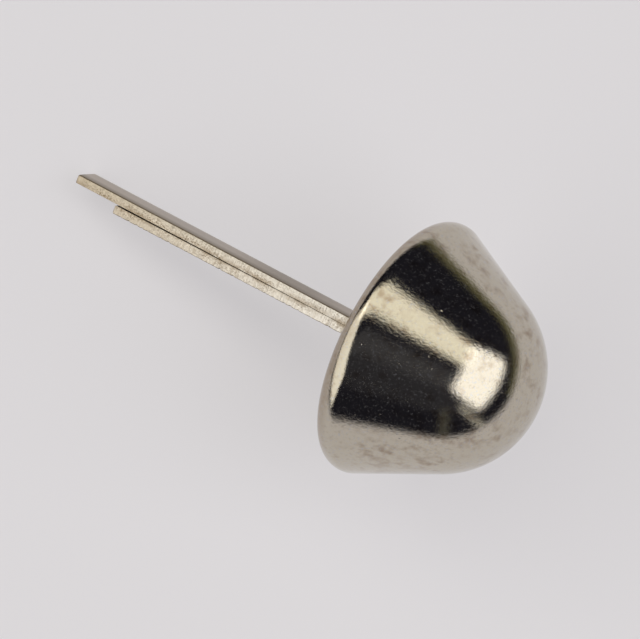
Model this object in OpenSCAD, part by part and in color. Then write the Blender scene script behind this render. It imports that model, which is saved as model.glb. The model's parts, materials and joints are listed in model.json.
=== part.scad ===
// Split-pin foot for a bag: a drawn sheet-metal head with a round nose, whose rim is
// turned in over a slotted disc, and a folded strip whose eye sits inside the head and
// whose two legs come out of the disc. It lies as it comes to rest, on the rim and on
// the tip of the long leg, with the nose towards +X and tilted up.

/* [Head] */
// Outer diameter of the head at its rim
head_d = 14; // [12:0.5:18]
// Height of the head from the back face to the tip of the nose
head_h = 8.7; // [7.8:0.1:10]
// Outer radius of the round nose
nose_r = 5.4; // [4.4:0.1:5.8]
// Outer radius of the rounded rim
rim_r = 0.95; // [0.7:0.05:1.2]
// Thickness of the sheet that the head is drawn from
wall = 0.5; // [0.3:0.05:0.6]
// How far the turned-in lip reaches in from the outer edge
lip_w = 1.8; // [1.4:0.1:3]

/* [Back plate] */
// Thickness of the disc that closes the head
plate_t = 0.6; // [0.4:0.05:1]
// Clearance of the disc inside the turned-in rim, and of the eye on the disc
crimp_gap = 0.02; // [0.01:0.01:0.05]
// Clearance at the ends of the disc's slot
slot_gap = 0.06; // [0.03:0.01:0.15]

/* [Split pin] */
// Width of the strip
strip_w = 1.8; // [1.2:0.1:2.4]
// Thickness of the strip
strip_t = 0.45; // [0.3:0.05:0.6]
// Length of the long leg behind the back face
long_leg = 19.2; // [12:0.2:30]
// How much shorter the other leg is
leg_step = 2.6; // [0:0.2:5]
// Daylight between the two legs
leg_gap = 0.08; // [0.02:0.02:0.2]
// Outer width of the eye that holds the pin inside the head
eye_w = 5; // [3.6:0.2:6]
// Inner radius of the strip's tight bends
bend_r = 0.2; // [0.1:0.05:0.3]

/* [Rest] */
// Roll of the foot about its own axis as it lies, from the strip standing on edge
roll = 27; // [0:1:40]

/* [Hidden] */
$fn = 96;

// Head outline: the flank is the straight line that touches the rim's round and the nose's
rim_at = head_d / 2 - rim_r;
nose_at = head_h - nose_r;
rim_to_nose = [rim_at, nose_at - rim_r];
flank_angle = atan2(rim_to_nose[0], rim_to_nose[1]) - asin((nose_r - rim_r) / norm(rim_to_nose));
flank_out = [cos(flank_angle), sin(flank_angle)];
// The flank is drawn this hair inside its tangent, so that it cuts both rounds cleanly
hair = 0.00005;
lip_hole_r = head_d / 2 - lip_w;

// Slot in the disc: wide enough for the necks' bends, so that the shoulders lie flat
short_leg = long_leg - leg_step;
legs_t = 2 * strip_t + leg_gap;
slot_l = strip_w + 2 * slot_gap;
slot_w = legs_t + 2 * bend_r;

// Eye of the pin: flat shoulders on the disc, upright sides, and an arch whose crown
// stands under the inside of the nose
plate_top = wall + crimp_gap + plate_t;
shoulder_y = plate_top + crimp_gap;
neck_x = legs_t / 2 + bend_r;
neck_y = shoulder_y - bend_r;
arch_r = eye_w / 2 - strip_t;
corner_x = arch_r - bend_r;
side_y = shoulder_y + strip_t + bend_r;
nose_room = nose_at + sqrt(pow(nose_r - wall, 2) - pow(strip_w / 2, 2)) - crimp_gap;
// The arch is made to the last full hundredth below the room that it has
arch_y = floor(100 * nose_room) / 100 - eye_w / 2;

// Rest: the tilt at which the rim and the lowest corner of a leg both touch the surface
inner_corner = strip_w / 2 * cos(roll) - leg_gap / 2 * sin(roll);
outer_corner = strip_w / 2 * cos(roll) + legs_t / 2 * sin(roll);
rest_tilt = min(tilt_on(long_leg, inner_corner), tilt_on(short_leg, outer_corner));
back_z = rim_r + rim_at * cos(rest_tilt) - rim_r * sin(rest_tilt);
nose_end = nose_at * cos(rest_tilt) + nose_r;
tip_end = -long_leg * cos(rest_tilt) - outer_corner * sin(rest_tilt);
middle_x = (nose_end + tip_end) / 2;

// Tilt of the head when it rests on its rim and on a leg's corner, which lies leg behind
// the back face and drop below the axis
function tilt_on(leg, drop) =
    let (run = leg + rim_r, fall = rim_at - drop)
    atan2(fall, run) + asin(rim_r / norm([run, fall]));

// Turns a piece from upright, nose up on the back face, to the way that it lies
module lying() {
    translate([-middle_x, 0, back_z])
        rotate([0, 90 - rest_tilt, 0])
            rotate([0, 0, roll])
                children();
}

// Half outline of the solid head, drawn in by an inset from its outer face
module head_outline(inset) {
    intersection() {
        translate([0, inset])
            square([head_d, head_h]);
        union() {
            translate([0, nose_at])
                circle(nose_r - inset);
            translate([rim_at, rim_r])
                circle(rim_r - inset);
            polygon([
                [0, inset],
                [rim_at, inset],
                [rim_at, rim_r] + (rim_r - inset - hair) * flank_out,
                [0, nose_at] + (nose_r - inset - hair) * flank_out,
                [0, nose_at]
            ]);
        }
    }
}

// Strip bent through a right angle, from the given angle on
module strip_bend(inner_r, from) {
    rotate([0, 0, from])
        intersection() {
            square(inner_r + strip_t);
            difference() {
                circle(inner_r + strip_t);
                circle(inner_r);
            }
        }
}

// Half of the folded strip, on the right of the centre line: a leg, and its side of the eye
module strip_half(leg) {
    translate([leg_gap / 2, -leg])
        square([strip_t, leg + neck_y]);
    translate([neck_x, neck_y])
        strip_bend(bend_r, 90);
    translate([neck_x, shoulder_y])
        square([corner_x - neck_x, strip_t]);
    translate([corner_x, side_y])
        strip_bend(bend_r, 270);
    translate([arch_r, side_y])
        square([strip_t, arch_y - side_y]);
    translate([0, arch_y])
        strip_bend(arch_r, 0);
}

module cap() {
    color([0.70, 0.67, 0.61])
        lying()
            rotate_extrude()
                difference() {
                    head_outline(0);
                    head_outline(wall);
                    square([lip_hole_r, 2 * wall]);
                }
}

module back_plate() {
    color([0.62, 0.60, 0.56])
        lying()
            difference() {
                rotate_extrude()
                    intersection() {
                        head_outline(wall + crimp_gap);
                        square([head_d, plate_top]);
                    }
                cube([slot_l, slot_w, head_h], center = true);
            }
}

module split_pin() {
    color([0.74, 0.70, 0.63])
        lying()
            rotate([90, 0, 90])
                linear_extrude(strip_w, center = true) {
                    strip_half(long_leg);
                    mirror([1, 0])
                        strip_half(short_leg);
                }
}

cap();
back_plate();
split_pin();
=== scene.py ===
import json
import math

import bpy
from mathutils import Matrix, Vector, noise as grain


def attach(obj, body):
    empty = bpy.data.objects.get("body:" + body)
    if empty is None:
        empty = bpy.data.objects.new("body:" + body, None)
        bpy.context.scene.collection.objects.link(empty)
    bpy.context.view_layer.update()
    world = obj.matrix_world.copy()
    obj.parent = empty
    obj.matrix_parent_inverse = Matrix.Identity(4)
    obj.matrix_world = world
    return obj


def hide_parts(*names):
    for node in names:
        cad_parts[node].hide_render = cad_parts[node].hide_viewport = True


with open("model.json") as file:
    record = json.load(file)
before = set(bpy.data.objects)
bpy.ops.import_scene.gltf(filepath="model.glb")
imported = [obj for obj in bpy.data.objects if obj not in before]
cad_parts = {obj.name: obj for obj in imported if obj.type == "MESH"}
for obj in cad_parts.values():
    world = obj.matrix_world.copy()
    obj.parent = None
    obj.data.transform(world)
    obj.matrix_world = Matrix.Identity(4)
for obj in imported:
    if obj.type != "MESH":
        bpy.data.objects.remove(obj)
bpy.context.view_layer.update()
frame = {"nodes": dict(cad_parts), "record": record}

# Sizes of the part in millimetres, as in its solids, and its roll in degrees
MM = 0.001
HEAD_D = 14.0
HEAD_H = 8.7
NOSE_R = 5.4
RIM_R = 0.95
WALL = 0.5
LIP_W = 1.8
PLATE_T = 0.6
CRIMP_GAP = 0.02
STRIP_W = 1.8
STRIP_T = 0.45
LONG_LEG = 19.2
LEG_STEP = 2.6
LEG_GAP = 0.08
EYE_W = 5.0
BEND_R = 0.2
ROLL = 27.0

# Heights above the back face at which the eye's shoulders lie and the legs' neck bends start
SHOULDER_Z = WALL + PLATE_T + 2 * CRIMP_GAP
NECK_Z = SHOULDER_Z - BEND_R

# Small forms that the solids leave out, in millimetres and degrees: the rounded edge of the lip, the
# pin's slack turn in its slot, and how far the slack lets its legs come out off centre
LIP_ROUND = 0.08
PIN_SLACK_TURN = -3.7
PIN_SLACK_SHIFT = -0.15

# The sheared strip's rolled-over and sharp corners across its width and its thickness, and the chips
# along the rolled ones: their depth on the short leg, the share of it on the long leg, the share of
# it across the width, their length, and how far apart the corners lie in the noise that makes them
ROLLED_CORNER = (0.14, 0.045)
SHARP_CORNER = (0.008, 0.008)
CHIP_DEPTH = 0.07
LONG_LEG_CHIPS = 0.125
CHIP_ACROSS = 0.5
CHIP_LENGTH = 0.17
CHIP_APART = 9.0

# The legs' rounded and torn tips, the gap between the legs at their tips and at the head, and how
# far the tip of the short leg stands off
TIP_ROUND = 0.05
TIP_TEAR = 0.10
TIP_GAP = 0.045
ROOT_GAP = 0.006
TIP_SPLAY = 0.05

# How finely the forms are divided: segments round the head, steps along its outline outside and
# inside, steps along the strip's bends, arch and corners, and millimetres along a leg
HEAD_SEGMENTS = 256
LIP_STEPS = 4
RIM_STEPS = 32
FLANK_STEPS = 16
NOSE_STEPS = 48
INNER_NOSE_STEPS = 24
INNER_FLANK_STEPS = 8
INNER_RIM_STEPS = 12
BEND_STEPS = 8
ARCH_STEPS = 32
CORNER_STEPS = 6
LEG_PITCH = 0.06

# Share of the strip's width without chips, degrees from which on an edge is shaded as sharp, and a
# length in millimetres that counts as none
FLAT_SHARE = 0.75
SHARP_ANGLE = 50.0
TINY = 1e-6

# Camera: width and focal length of the photograph in pixels, sensor width in millimetres, and the
# view that fits the head's outline and the legs: leans from straight down and turn in degrees,
# offset and distance in millimetres
IMAGE_W = 640
FOCAL_PX = 5751.5
SENSOR_W = 36.0
LEAN_X = 4.83
LEAN_Y = -8.70
TURN = 30.23
OFFSET = (0.926, -0.370)
DISTANCE = 300.0
CLIP_START_M = 0.01

# Light: soft panels around the table, whose directions are read from the mirror image in the head.
# Azimuth from +X, height and roll in degrees, half width and half height as shares of the distance,
# radiance and tint
PANEL_DISTANCE = 500.0
PANELS = {
    "softbox_right": (6.5, 44, -2, 0.50, 0.40, 1.78, (1.0, 0.99, 0.97)),
    "softbox_top": (138, 65, -44, 0.93, 0.26, 1.30, (1.0, 0.97, 0.84)),
    "softbox_left": (222, 32, 0, 0.92, 0.46, 1.30, (1.0, 0.98, 0.90)),
    "ceiling_near": (-67, 69, 0, 0.50, 0.17, 0.030, (0.93, 0.95, 1.0)),
    "ceiling_far": (-69, 55, 0, 0.60, 0.42, 0.022, (0.93, 0.95, 1.0)),
    "wall_far": (60, 4, 0, 1.30, 0.10, 0.14, (1.0, 0.95, 0.42)),
    "stand_right": (-30, 19, 17, 0.022, 0.34, 1.10, (1.0, 0.98, 0.88)),
    "stand_front": (-57, 18, -3, 0.06, 0.32, 0.09, (1.0, 0.98, 0.70)),
}
ROOM = (0.016, 0.016, 0.024, 1.0)

# Floor: its size in metres, its colour under the light and as it is shown, the share of the shown
# colour, which it keeps in the object's shadow, and its roughness
FLOOR_SIZE = 1.6
FLOOR_COLOUR = (0.775, 0.762, 0.815, 1.0)
FLOOR_SHOWN = (0.802, 0.78, 0.798, 1.0)
FLOOR_LIFT = 0.58
FLOOR_ROUGHNESS = 0.9

# Sockets of Blender's mix node for colours, which has the same names for other kinds of values
MIX_SHARE = 0
MIX_FIRST = 6
MIX_SECOND = 7
MIX_RESULT = 2


def degrees(*angles):
    """Angles in degrees, in the radians that Blender takes."""
    return [math.radians(a) for a in angles]


def foot_frame(roll=ROLL):
    """From the upright foot in millimetres, nose up on its back face, to the row frame."""
    seat = next(m for m in frame["record"]["mounts"] if m["name"] == "seat")
    tilt = math.asin(-seat["axis"][2])
    return (
        Matrix.Translation(seat["pos_m"])
        @ Matrix.Rotation(math.pi / 2 - tilt, 4, "Y")
        @ Matrix.Rotation(math.radians(roll), 4, "Z")
        @ Matrix.Scale(MM, 4)
    )


def add_piece(name, node_name, verts, faces, materials, roll=ROLL):
    """A mesh in the upright foot's millimetres, which stands for a CAD node."""
    place = foot_frame(roll)
    mesh = bpy.data.meshes.new(name)
    mesh.from_pydata([place @ Vector(v) for v in verts], [], faces)
    for material in materials:
        mesh.materials.append(material)
    mesh.polygons.foreach_set("use_smooth", [True] * len(faces))
    mesh.set_sharp_from_angle(angle=math.radians(SHARP_ANGLE))
    piece = bpy.data.objects.new(name, mesh)
    bpy.context.scene.collection.objects.link(piece)
    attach(piece, "root")
    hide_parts(node_name)
    return piece


def arc(centre, radius, start, end, steps):
    """Points on a circle from one angle to another, in degrees, or on an ellipse with two radii."""
    rx, ry = radius if isinstance(radius, tuple) else (radius, radius)
    turns = [math.radians(start + (end - start) * k / steps) for k in range(steps + 1)]
    return [(centre[0] + rx * math.cos(t), centre[1] + ry * math.sin(t)) for t in turns]


def line(start, end, steps):
    """Points inside a straight line, without its ends."""
    shares = [k / steps for k in range(1, steps)]
    return [tuple(a + (b - a) * s for a, b in zip(start, end)) for s in shares]


def head_profile():
    """Closed half outline of the drawn head: lip, rim, flank and nose outside, then back inside."""
    rim = (HEAD_D / 2 - RIM_R, RIM_R)
    nose = (0.0, HEAD_H - NOSE_R)
    rise = nose[1] - rim[1]
    reach = math.hypot(rim[0], rise)
    flank = math.degrees(math.atan2(rim[0], rise) - math.asin((NOSE_R - RIM_R) / reach))
    lip = HEAD_D / 2 - LIP_W
    outer_rim = arc(rim, RIM_R, -90, flank, RIM_STEPS)
    outer_nose = arc(nose, NOSE_R, flank, 90, NOSE_STEPS)
    inner_nose = arc(nose, NOSE_R - WALL, 90, flank, INNER_NOSE_STEPS)
    inner_rim = arc(rim, RIM_R - WALL, flank, -90, INNER_RIM_STEPS)
    return (
        arc((lip + LIP_ROUND, LIP_ROUND), LIP_ROUND, 180, 270, LIP_STEPS)
        + outer_rim
        + line(outer_rim[-1], outer_nose[0], FLANK_STEPS)
        + outer_nose
        + inner_nose
        + line(inner_nose[-1], inner_rim[0], INNER_FLANK_STEPS)
        + inner_rim
        + arc((lip + LIP_ROUND, WALL - LIP_ROUND), LIP_ROUND, 90, 180, LIP_STEPS)
    )


def revolve(profile, segments):
    """Turns a closed half outline about Z; points on the axis become single vertices."""
    verts, rings = [], []
    turns = [2 * math.pi * k / segments for k in range(segments)]
    for r, z in profile:
        if r < TINY:
            rings.append([len(verts)] * segments)
            verts.append((0.0, 0.0, z))
            continue
        rings.append(range(len(verts), len(verts) + segments))
        verts += [(r * math.cos(t), r * math.sin(t), z) for t in turns]
    faces = []
    for low, high in zip(rings, rings[1:] + rings[:1]):
        for k in range(segments):
            m = (k + 1) % segments
            corners = [low[k], low[m], high[m], high[k]]
            face = [c for n, c in enumerate(corners) if c not in corners[:n]]
            if len(face) > 2:
                faces.append(face)
    return verts, faces


def strip_path():
    """Middle line of the folded strip, from the tip of the long leg over the eye to the other."""
    half_t = STRIP_T / 2
    leg_y = LEG_GAP / 2 + half_t
    neck = (LEG_GAP / 2 + STRIP_T + BEND_R, NECK_Z)
    arch_r = EYE_W / 2 - STRIP_T
    corner = (arch_r - BEND_R, SHOULDER_Z + STRIP_T + BEND_R)
    inside_nose = math.sqrt((NOSE_R - WALL) ** 2 - (STRIP_W / 2) ** 2)
    nose_room = HEAD_H - NOSE_R + inside_nose - CRIMP_GAP
    arch_z = math.floor(100 * nose_room) / 100 - EYE_W / 2

    def half(leg):
        """From the tip of a leg to the side of the eye."""
        tip = (leg_y, -leg)
        top = (leg_y, NECK_Z)
        leg_line = [tip] + line(tip, top, round((leg + NECK_Z) / LEG_PITCH))
        neck_bend = arc(neck, BEND_R + half_t, 180, 90, BEND_STEPS)
        corner_bend = arc(corner, BEND_R + half_t, -90, 0, BEND_STEPS)
        return leg_line + neck_bend + corner_bend

    crown = arc((0, arch_z), arch_r + half_t, 0, 180, ARCH_STEPS)
    back = [(-y, z) for y, z in reversed(half(LONG_LEG - LEG_STEP))]
    return half(LONG_LEG) + crown + back


def strip_section():
    """Cross-section of the strip, rolled over at its outer corners, and which sides are sheared."""
    points, sheared = [], []
    x, y = STRIP_W / 2, STRIP_T / 2
    for turn, sx, sy in ((0, 1, 1), (90, -1, 1), (180, -1, -1), (270, 1, -1)):
        rx, ry = ROLLED_CORNER if sy > 0 else SHARP_CORNER
        points += arc((sx * (x - rx), sy * (y - ry)), (rx, ry), turn, turn + 90, CORNER_STEPS)
        sheared += [False] * CORNER_STEPS + [turn in (90, 270)]
        if turn in (0, 180):
            inside = FLAT_SHARE * x
            points += [(sx * inside, sy * y), (-sx * inside, sy * y)]
            sheared += [False, False]
    return points, sheared


def chip(x, point):
    """How deep the corner on that side of the strip is chipped at a point of its middle line."""
    side = math.copysign(CHIP_APART, x)
    leg = math.copysign(CHIP_APART, point.y)
    depth = CHIP_DEPTH if point.y < 0 else CHIP_DEPTH * LONG_LEG_CHIPS
    return depth * max(grain.noise(Vector((side, leg, point.z / CHIP_LENGTH))), 0.0)


def strip_ring(section, point, out, at_tip):
    """The strip's section at a point of its middle line, with its lean, its chips and its torn end.

    The lean grows from the tips to the back face, and is taken back in the slot: the eye is centred.
    """
    share = max(-point.z / LONG_LEG, 0.0)
    inside = min(max(point.z / NECK_Z, 0.0), 1.0)
    lean = PIN_SLACK_SHIFT * (1 - share - inside)
    gap = ROOT_GAP + (TIP_GAP - ROOT_GAP) * share
    closing = (LEG_GAP - gap) / 2 if point.z < WALL else 0.0
    splay = TIP_SPLAY * share ** 2 if point.y < 0 else 0.0
    ring = []
    for x, y in section:
        width = x
        depth = y if y > 0 else y - closing
        tear = 0.0
        if y > 0 and abs(x) > FLAT_SHARE * STRIP_W / 2 + TINY:
            width -= math.copysign(CHIP_ACROSS * chip(x, point), x)
            depth -= chip(x, point)
        if at_tip:
            width -= math.copysign(TIP_ROUND, x)
            depth -= math.copysign(TIP_ROUND, y)
            tear = TIP_TEAR * max(grain.noise(Vector((x, y, point.z)) / CHIP_LENGTH), 0.0)
        ring.append(point + Vector((width, lean, tear)) + out * (depth + splay))
    return ring


def strip_mesh():
    """The strip's section swept along its middle line, with closed ends, and each face's finish."""
    path = [Vector((0.0, y, z)) for y, z in strip_path()]
    section, sheared = strip_section()
    n = len(section)
    last = len(path) - 1
    verts, faces, kinds = [], [], []
    for k, point in enumerate(path):
        along = (path[min(k + 1, last)] - path[max(k - 1, 0)]).normalized()
        out = along.cross(Vector((1.0, 0.0, 0.0)))
        verts += strip_ring(section, point, out, k in (0, last))
    for k in range(last):
        for j in range(n):
            m = (j + 1) % n
            faces.append([k * n + j, k * n + m, (k + 1) * n + m, (k + 1) * n + j])
            kinds.append(1 if sheared[j] else 0)
    faces += [list(range(n))[::-1], list(range(len(verts) - n, len(verts)))]
    kinds += [1, 1]
    return verts, faces, kinds


def new_material(name):
    """An empty node material with its surface shader."""
    material = bpy.data.materials.new(name)
    material.use_nodes = True
    tree = material.node_tree
    return material, tree, tree.nodes["Principled BSDF"]


def node(tree, kind, inputs=None, **settings):
    """A shader node with its settings, and with values or links on its inputs."""
    made = tree.nodes.new(kind)
    for key, value in settings.items():
        setattr(made, key, value)
    for key, value in (inputs or {}).items():
        if isinstance(value, bpy.types.NodeSocket):
            tree.links.new(value, made.inputs[key])
        else:
            made.inputs[key].default_value = value
    return made


def upright(tree, sizes=(1.0, 1.0, 1.0), roll=ROLL):
    """Places in the upright foot, in units of these sizes in millimetres."""
    origin, turn, _ = foot_frame(roll).decompose()
    inputs = {
        "Vector": node(tree, "ShaderNodeTexCoord").outputs["Object"],
        "Location": origin,
        "Rotation": turn.to_euler(),
        "Scale": [MM * s for s in sizes],
    }
    return node(tree, "ShaderNodeMapping", inputs, vector_type="TEXTURE").outputs["Vector"]


def axes(tree, roll=ROLL):
    """X, Y and Z in the upright foot, in millimetres."""
    return node(tree, "ShaderNodeSeparateXYZ", {"Vector": upright(tree, roll=roll)}).outputs


def noise(tree, size, detail=3.0, roughness=0.55):
    """Noise with features of about that size in millimetres, or of a size for each axis."""
    inputs = {
        "Vector": upright(tree, size if isinstance(size, tuple) else (size, size, size)),
        "Scale": 1.0,
        "Detail": detail,
        "Roughness": roughness,
    }
    return node(tree, "ShaderNodeTexNoise", inputs).outputs["Fac"]


def remap(tree, value, low, high, to_low=0.0, to_high=1.0):
    """Spreads the part of a value between low and high over another range."""
    inputs = {
        "Value": value,
        "From Min": low,
        "From Max": high,
        "To Min": to_low,
        "To Max": to_high,
    }
    return node(tree, "ShaderNodeMapRange", inputs).outputs["Result"]


def height(tree, low, high, to_low=0.0, to_high=1.0):
    """A value that changes between two heights in the upright foot, in millimetres."""
    return remap(tree, axes(tree)["Z"], low, high, to_low, to_high)


def maths(tree, operation, *values):
    """What a math node makes of one or two values."""
    return node(tree, "ShaderNodeMath", dict(enumerate(values)), operation=operation).outputs[0]


def product(tree, first, second):
    """Two values multiplied."""
    return maths(tree, "MULTIPLY", first, second)


def from_gap(tree):
    """Distance from the middle between the legs of the leaning pin, in millimetres."""
    place = axes(tree, ROLL + PIN_SLACK_TURN)
    lean = remap(tree, place["Z"], -LONG_LEG, 0.0, 0.0, PIN_SLACK_SHIFT)
    return maths(tree, "ABSOLUTE", maths(tree, "SUBTRACT", place["Y"], lean))


def blend(tree, share, first, second):
    """A colour between two others."""
    inputs = {MIX_SHARE: share, MIX_FIRST: first, MIX_SECOND: second}
    return node(tree, "ShaderNodeMix", inputs, data_type="RGBA").outputs[MIX_RESULT]


def bump(tree, relief, depth_mm, strength, below=None):
    """A normal that follows a relief of up to that depth, on top of another bump."""
    inputs = {"Height": relief, "Distance": depth_mm * MM, "Strength": strength}
    if below:
        inputs["Normal"] = below
    return node(tree, "ShaderNodeBump", inputs).outputs["Normal"]


def finish_metal(material, tree, shader, colour, rough, normal):
    """Links a metal's colour, roughness and bump."""
    tree.links.new(colour, shader.inputs["Base Color"])
    tree.links.new(rough, shader.inputs["Roughness"])
    tree.links.new(normal, shader.inputs["Normal"])
    shader.inputs["Metallic"].default_value = 1.0
    return material


def bright_nickel():
    """Bright plating with fields of brownish tarnish, fine specks, a few pits, a little dust, and
    painted shade along the rim's lower edge by the lip.
    """
    clean = (0.54, 0.495, 0.41, 1.0)
    tarnish = (0.28, 0.20, 0.13, 1.0)
    dust_grey = (0.50, 0.52, 0.58, 1.0)
    material, tree, shader = new_material("bright_nickel")
    fields = remap(tree, noise(tree, 2.2, 2.0), 0.38, 0.60)
    mottles = remap(tree, noise(tree, 0.6, 3.0, 0.5), 0.48, 0.74, 0.0, 0.8)
    colour = blend(tree, product(tree, fields, mottles), clean, tarnish)
    specks = remap(tree, noise(tree, 0.2, 3.0, 0.6), 0.56, 0.76, 0.0, 0.4)
    colour = blend(tree, specks, colour, tarnish)
    # Painted shade: the rim's lower edge next to the lip is darkened in the tarnish colour, standing
    # in for the shaded floor that it mirrors
    at_lip = height(tree, 0.4, 1.0, 0.5, 0.0)
    colour = blend(tree, at_lip, colour, tarnish)
    rough = remap(tree, noise(tree, 0.5, 4.0), 0.3, 0.7, 0.03, 0.08)
    peel = bump(tree, noise(tree, 0.18, 4.0, 0.72), 0.009, 1.0)
    cells = node(tree, "ShaderNodeTexVoronoi", {"Vector": upright(tree), "Scale": 1.3})
    pits = remap(tree, cells.outputs["Distance"], 0.02, 0.09)
    relief = bump(tree, pits, 0.010, 0.6, peel)
    dust = remap(tree, noise(tree, 0.13, 4.0, 0.75), 0.56, 0.72)
    colour = blend(tree, dust, colour, dust_grey)
    tree.links.new(remap(tree, dust, 0.0, 1.0, 1.0, 0.82), shader.inputs["Metallic"])
    return finish_metal(material, tree, shader, colour, rough, relief)


def dull_nickel():
    """Dull plating on blanked sheet: sparse scratches both ways, tarnish at the slot and the lip."""
    dark = (0.40, 0.365, 0.31, 1.0)
    pale = (0.60, 0.56, 0.49, 1.0)
    tarnish = (0.25, 0.19, 0.125, 1.0)
    bare = (0.70, 0.66, 0.59, 1.0)
    material, tree, shader = new_material("dull_nickel")
    cloud = remap(tree, noise(tree, 1.1, 4.0, 0.6), 0.35, 0.65)
    colour = blend(tree, cloud, dark, pale)
    middle = node(tree, "ShaderNodeVectorMath", {0: upright(tree)}, operation="LENGTH")
    from_middle = middle.outputs["Value"]
    grime_and_shade = remap(tree, noise(tree, 0.5, 3.0), 0.35, 0.65, 0.3, 1.0)
    at_slot = product(tree, grime_and_shade, remap(tree, from_middle, 1.0, 2.2, 0.6, 0.0))
    at_lip = product(tree, grime_and_shade, remap(tree, from_middle, 4.3, 5.2, 0.0, 0.7))
    for share in (at_slot, at_lip):
        colour = blend(tree, share, colour, tarnish)
    rough = remap(tree, cloud, 0.0, 1.0, 0.38, 0.26)
    marks = None
    for sizes in ((2.4, 0.09, 0.09), (0.13, 1.6, 0.13)):
        scratches = remap(tree, noise(tree, sizes, 2.0, 0.5), 0.60, 0.70)
        colour = blend(tree, product(tree, scratches, 0.35), colour, bare)
        marks = bump(tree, scratches, 0.006, 0.7, marks)
    return finish_metal(material, tree, shader, colour, rough, marks)


def strip_face():
    """Rolled face of the strip: smooth plating, clouded along the strip, with painted shade towards
    one corner and in a patch near the head.
    """
    dark = (0.43, 0.375, 0.315, 1.0)
    pale = (0.54, 0.475, 0.40, 1.0)
    painted_corner_shade = (0.19, 0.145, 0.085, 1.0)
    painted_patch_shade = (0.22, 0.18, 0.135, 1.0)
    material, tree, shader = new_material("strip_face")
    cloud = remap(tree, noise(tree, (0.8, 0.8, 4.0), 4.0, 0.6), 0.3, 0.7)
    colour = blend(tree, cloud, dark, pale)
    # Painted shade: the face darkens towards one corner
    corner = remap(tree, axes(tree)["X"], -0.1, -0.8, 0.0, 0.95)
    colour = blend(tree, corner, colour, painted_corner_shade)
    # Painted shade in a patch from about 10 to 2 millimetres below the back face, next to the head
    patch_shade_start = height(tree, -10.0, -7.0, 0.0, 0.45)
    patch_shade_end = height(tree, -5.0, -2.0, 1.0, 0.0)
    colour = blend(tree, product(tree, patch_shade_start, patch_shade_end), colour, painted_patch_shade)
    rough = remap(tree, cloud, 0.0, 1.0, 0.30, 0.40)
    rolled = bump(tree, noise(tree, (0.15, 0.15, 1.0), 3.0), 0.003, 0.5)
    return finish_metal(material, tree, shader, colour, rough, rolled)


def strip_edge():
    """Sheared edge of the strip: rough and speckled, with marks across it, yellower at the tips,
    paler towards the head with a painted highlight, and with painted shade next to the gap.
    """
    yellow = (0.63, 0.545, 0.43, 1.0)
    pale = (0.92, 0.875, 0.82, 1.0)
    mark_brown = (0.52, 0.43, 0.32, 1.0)
    dot_brown = (0.24, 0.17, 0.10, 1.0)
    gap_shade_brown = (0.33, 0.25, 0.17, 1.0)
    stain_brown = (0.34, 0.26, 0.17, 1.0)
    material, tree, shader = new_material("strip_edge")
    speck = noise(tree, 0.10, 3.0, 0.6)
    across = noise(tree, (1.2, 1.2, 0.08), 3.0, 0.6)
    # Yellower at the tips, the sheared metal's own tone, and paler towards the head, where the paler
    # colour is a painted highlight
    colour = blend(tree, height(tree, -19.0, -2.0), yellow, pale)
    shade = remap(tree, across, 0.50, 0.68, 0.0, 0.4)
    colour = blend(tree, shade, colour, mark_brown)
    clusters = remap(tree, noise(tree, (0.4, 0.4, 1.3), 2.0), 0.38, 0.60)
    aside = from_gap(tree)
    dots = product(tree, clusters, remap(tree, speck, 0.47, 0.60))
    dots = product(tree, dots, remap(tree, aside, 0.08, 0.40, 1.0, 0.35))
    colour = blend(tree, dots, colour, dot_brown)
    # Painted shade on the edge next to the gap between the legs, broken up by blotches
    blotches = remap(tree, noise(tree, (0.5, 0.5, 1.4), 3.0), 0.38, 0.60)
    grime_and_shade = product(tree, blotches, remap(tree, aside, 0.05, 0.26, 0.7, 0.0))
    colour = blend(tree, grime_and_shade, colour, gap_shade_brown)
    stain = remap(tree, noise(tree, 0.6, 4.0, 0.6), 0.54, 0.74, 0.0, 0.4)
    colour = blend(tree, stain, colour, stain_brown)
    rough = remap(tree, speck, 0.3, 0.7, 0.34, 0.52)
    rugged = bump(tree, across, 0.04, 0.9, bump(tree, speck, 0.02, 0.8))
    return finish_metal(material, tree, shader, colour, rough, rugged)


def floor_white():
    """Plain pale floor, whose colour the camera and the metal see lifted in the shadow."""
    material, tree, shader = new_material("floor_white")
    shader.inputs["Base Color"].default_value = FLOOR_COLOUR
    shader.inputs["Roughness"].default_value = FLOOR_ROUGHNESS
    shader.inputs["Specular IOR Level"].default_value = 0.0
    glow = node(tree, "ShaderNodeEmission", {"Color": FLOOR_SHOWN})
    path = node(tree, "ShaderNodeLightPath")
    seen = path.outputs["Is Camera Ray"]
    for ray in ("Is Glossy Ray", "Is Transmission Ray"):
        seen = maths(tree, "MAXIMUM", seen, path.outputs[ray])
    lift = product(tree, seen, FLOOR_LIFT)
    mix = node(tree, "ShaderNodeMixShader", {0: lift, 1: shader.outputs[0], 2: glow.outputs[0]})
    tree.links.new(mix.outputs[0], tree.nodes["Material Output"].inputs["Surface"])
    return material


def add_floor():
    """A square of floor, which isn't part of the object."""
    mesh = bpy.data.meshes.new("floor")
    half = FLOOR_SIZE / 2
    corners = [(-half, -half, 0), (half, -half, 0), (half, half, 0), (-half, half, 0)]
    mesh.from_pydata(corners, [], [(0, 1, 2, 3)])
    mesh.materials.append(floor_white())
    floor = bpy.data.objects.new("floor", mesh)
    bpy.context.scene.collection.objects.link(floor)


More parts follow.
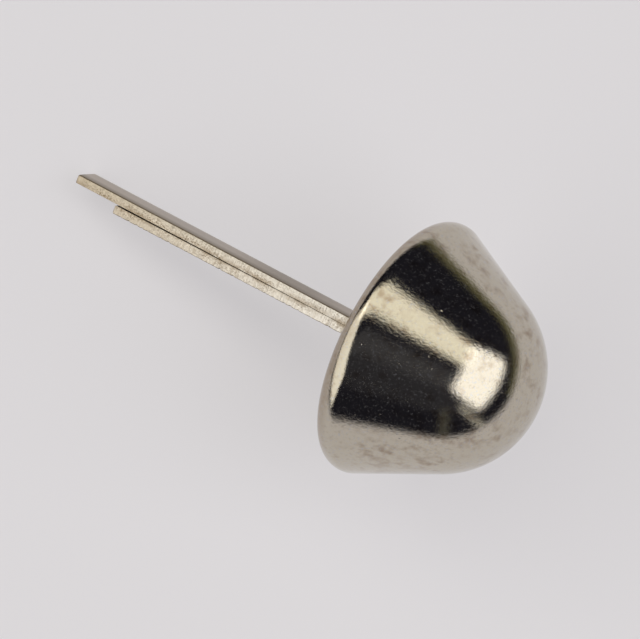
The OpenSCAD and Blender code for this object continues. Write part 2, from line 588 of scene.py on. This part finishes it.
def add_panel(name, azimuth, elevation, roll, half_w, half_h, radiance, tint):
    """A soft panel that faces the part from that direction."""
    turn, lift, spin = degrees(azimuth, elevation, roll)
    light = bpy.data.lights.new(name, "AREA")
    light.shape = "RECTANGLE"
    light.size = 2 * half_w * PANEL_DISTANCE * MM
    light.size_y = 2 * half_h * PANEL_DISTANCE * MM
    light.energy = radiance * math.pi * light.size * light.size_y
    light.color = tint
    panel = bpy.data.objects.new(name, light)
    bpy.context.scene.collection.objects.link(panel)
    panel.matrix_world = (
        Matrix.Rotation(turn, 4, "Z")
        @ Matrix.Rotation(math.pi / 2 - lift, 4, "Y")
        @ Matrix.Translation((0, 0, PANEL_DISTANCE * MM))
        @ Matrix.Rotation(math.pi / 2 + spin, 4, "Z")
    )


def add_room():
    """A dark room around the table."""
    world = bpy.data.worlds.new("room")
    world.use_nodes = True
    world.node_tree.nodes["Background"].inputs["Color"].default_value = ROOM
    bpy.context.scene.world = world


def add_camera():
    """The photograph's camera, nearly straight above the part."""
    lean_x, lean_y, turn = degrees(LEAN_X, LEAN_Y, TURN)
    back = Vector((math.tan(lean_x), math.tan(lean_y), 1.0)).normalized()
    side = (Vector((1.0, 0.0, 0.0)) - back * back.x).normalized()
    view = Matrix((side, back.cross(side), back)).transposed() @ Matrix.Rotation(turn, 3, "Z")
    data = bpy.data.cameras.new("camera")
    data.sensor_fit = "HORIZONTAL"
    data.sensor_width = SENSOR_W
    data.lens = FOCAL_PX / IMAGE_W * SENSOR_W
    data.clip_start = CLIP_START_M
    camera = bpy.data.objects.new("camera", data)
    bpy.context.scene.collection.objects.link(camera)
    place = view @ Vector((*OFFSET, DISTANCE)) * MM
    camera.matrix_world = Matrix.Translation(place) @ view.to_4x4()
    bpy.context.scene.camera = camera


def add_head():
    """The head, with a finer round and a rounded lip."""
    verts, faces = revolve(head_profile(), HEAD_SEGMENTS)
    add_piece("head_shell", "cap", verts, faces, [bright_nickel()])


def add_pin():
    """The folded strip, turned in its slot, with a finish for its faces and one for its edges."""
    verts, faces, kinds = strip_mesh()
    finishes = [strip_face(), strip_edge()]
    roll = ROLL + PIN_SLACK_TURN
    pin = add_piece("pin_strip", "split_pin", verts, faces, finishes, roll)
    pin.data.polygons.foreach_set("material_index", kinds)


def dress_plate():
    """The disc keeps its solid, with its own finish."""
    slots = frame["nodes"]["back_plate"].data.materials
    slots.clear()
    slots.append(dull_nickel())


add_camera()
add_room()
add_floor()
for panel_name, panel in PANELS.items():
    add_panel(panel_name, *panel)
add_head()
add_pin()
dress_plate()

bpy.context.scene.view_settings.view_transform = "Standard"
